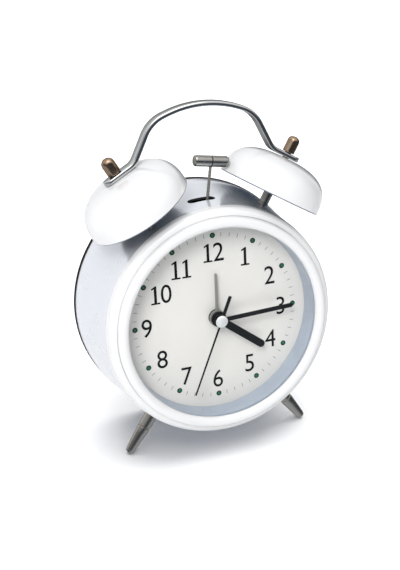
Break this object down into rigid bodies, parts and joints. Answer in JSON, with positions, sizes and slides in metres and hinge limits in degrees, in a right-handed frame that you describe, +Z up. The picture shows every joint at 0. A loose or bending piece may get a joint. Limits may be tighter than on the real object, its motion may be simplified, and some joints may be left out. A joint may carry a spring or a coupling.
{
  "type": "alarm clock",
  "caption": "Twin-bell quartz alarm clock: round drum on two splayed feet, swinging hammer between domed bells, carrying handle, hour, minute, second and alarm hands.",
  "frame": {"origin": "middle of the box around the clock, on the surface it stands on", "axes": "+Z up, the dial faces -Y and slightly up, +X towards 3 o'clock"},
  "size_m": [0.1192, 0.0704, 0.1642],
  "materials": {
    "white_paint": "gloss",
    "clear_lens": "clear, polished",
    "grey_surround": "satin",
    "dial_paper": "printed, matt",
    "black_plastic": "satin",
    "black_hand": "satin",
    "grey_hand": "brushed",
    "polished_steel": "polished",
    "dark_steel": "turned",
    "bronze_nut": "bronze plated",
    "nickel": "turned, nickel plated",
    "silver_cap": "polished",
    "brass": "stamped",
    "movement_plastic": "moulded",
    "circuit_board": "lacquered",
    "copper_wire": "enamelled winding",
    "battery_wrap": "printed sleeve"
  },
  "bodies": {
    "clock": {"case_drum": "white_paint", "front_bezel": "white_paint", "window_lens": "clear_lens", "dial_surround": "grey_surround", "dial_face": "dial_paper", "dial_plate": "movement_plastic", "rear_cover": "black_plastic", "cover_screw_1": "dark_steel", "cover_screw_2": "dark_steel", "cover_screw_3": "dark_steel", "movement_front": "movement_plastic", "movement_case": "movement_plastic", "circuit_board": "circuit_board", "stepper_coil": "copper_wire", "stepper_stator": "dark_steel", "battery_box": "black_plastic", "battery": "battery_wrap", "positive_contact": "polished_steel", "negative_spring": "polished_steel", "hammer_bracket": "dark_steel", "hammer_pivot_pin": "polished_steel", "hammer_motor": "polished_steel", "left_bell": "white_paint", "right_bell": "white_paint", "left_bell_post": "dark_steel", "right_bell_post": "dark_steel", "left_post_nut": "nickel", "right_post_nut": "nickel", "left_cap_nut": "bronze_nut", "right_cap_nut": "bronze_nut", "left_foot": "nickel", "right_foot": "nickel", "left_foot_nut": "nickel", "right_foot_nut": "nickel", "handle": "polished_steel"},
    "seconds": {"second_hand": "black_hand", "hand_cap": "silver_cap", "second_wheel": "brass"},
    "minutes": {"minute_hand": "black_hand", "minute_collet": "black_hand", "minute_wheel": "movement_plastic"},
    "hours": {"hour_hand": "black_hand", "hour_collet": "black_hand", "hour_wheel": "movement_plastic"},
    "motion_work": {"motion_wheel": "movement_plastic"},
    "rotor": {"stepper_rotor": "dark_steel"},
    "time_setter": {"time_knob": "black_plastic", "time_shaft": "movement_plastic"},
    "alarm_pointer": {"alarm_hand": "grey_hand", "alarm_collet": "black_hand", "alarm_wheel": "movement_plastic"},
    "alarm_setter": {"alarm_knob": "black_plastic", "alarm_shaft": "movement_plastic"},
    "switch": {"alarm_switch": "black_plastic"},
    "door": {"battery_door": "black_plastic"},
    "hammer": {"hammer_head": "polished_steel", "hammer_stem": "polished_steel", "hammer_lever": "black_plastic"},
    "cam": {"hammer_cam": "movement_plastic"}
  },
  "joints": [
    {"name": "second_hand_turn", "type": "hinge", "parent": "clock", "child": "seconds", "pos_m": [0, -0.02574, 0.06719], "axis": [0, 0.9863, -0.165], "continuous": true},
    {"name": "minute_hand_turn", "type": "hinge", "parent": "clock", "child": "minutes", "pos_m": [0, -0.02574, 0.06719], "axis": [0, 0.9863, -0.165], "continuous": true},
    {"name": "hour_hand_turn", "type": "hinge", "parent": "clock", "child": "hours", "pos_m": [0, -0.02574, 0.06719], "axis": [0, 0.9863, -0.165], "continuous": true},
    {"name": "motion_wheel_turn", "type": "hinge", "parent": "clock", "child": "motion_work", "pos_m": [0, -0.00767, 0.05403], "axis": [0, 0.9863, -0.165], "continuous": true},
    {"name": "rotor_turn", "type": "hinge", "parent": "clock", "child": "rotor", "pos_m": [0.012, -0.00471, 0.04745], "axis": [0, 0.9863, -0.165], "continuous": true},
    {"name": "time_knob_turn", "type": "hinge", "parent": "clock", "child": "time_setter", "pos_m": [0.014, 0.03114, 0.06781], "axis": [0, 0.9863, -0.165], "continuous": true},
    {"name": "alarm_knob_turn", "type": "hinge", "parent": "clock", "child": "alarm_setter", "pos_m": [-0.014, 0.03114, 0.06781], "axis": [0, 0.9863, -0.165], "continuous": true},
    {"name": "alarm_hand_turn", "type": "hinge", "parent": "clock", "child": "alarm_pointer", "pos_m": [0, -0.02574, 0.06719], "axis": [0, 0.9863, -0.165], "continuous": true},
    {"name": "alarm_switch_slide", "type": "slide", "parent": "clock", "child": "switch", "axis": [1, 0, 0], "range_m": [0, 0.005]},
    {"name": "battery_door_open", "type": "hinge", "parent": "clock", "child": "door", "pos_m": [0, 0.01855, 0.01922], "axis": [-1, 0, 0], "range_deg": [0, 85]},
    {"name": "hammer_swing", "type": "hinge", "parent": "clock", "child": "hammer", "pos_m": [0, 0.0015, 0.11485], "axis": [0, -0.9863, 0.165], "range_deg": [-0.9, 17.1]},
    {"name": "cam_turn", "type": "hinge", "parent": "clock", "child": "cam", "pos_m": [0, -0.0004, 0.10351], "axis": [0, -0.9863, 0.165], "continuous": true}
  ],
  "couplings": [
    {"joint": "minute_hand_turn", "follows": "second_hand_turn", "ratio": 0.016667},
    {"joint": "hour_hand_turn", "follows": "second_hand_turn", "ratio": 0.0013889},
    {"joint": "motion_wheel_turn", "follows": "second_hand_turn", "ratio": -0.0055556},
    {"joint": "time_knob_turn", "follows": "second_hand_turn", "ratio": -0.016667},
    {"joint": "rotor_turn", "follows": "second_hand_turn", "ratio": 30},
    {"joint": "alarm_hand_turn", "follows": "alarm_knob_turn", "ratio": -1}
  ]
}
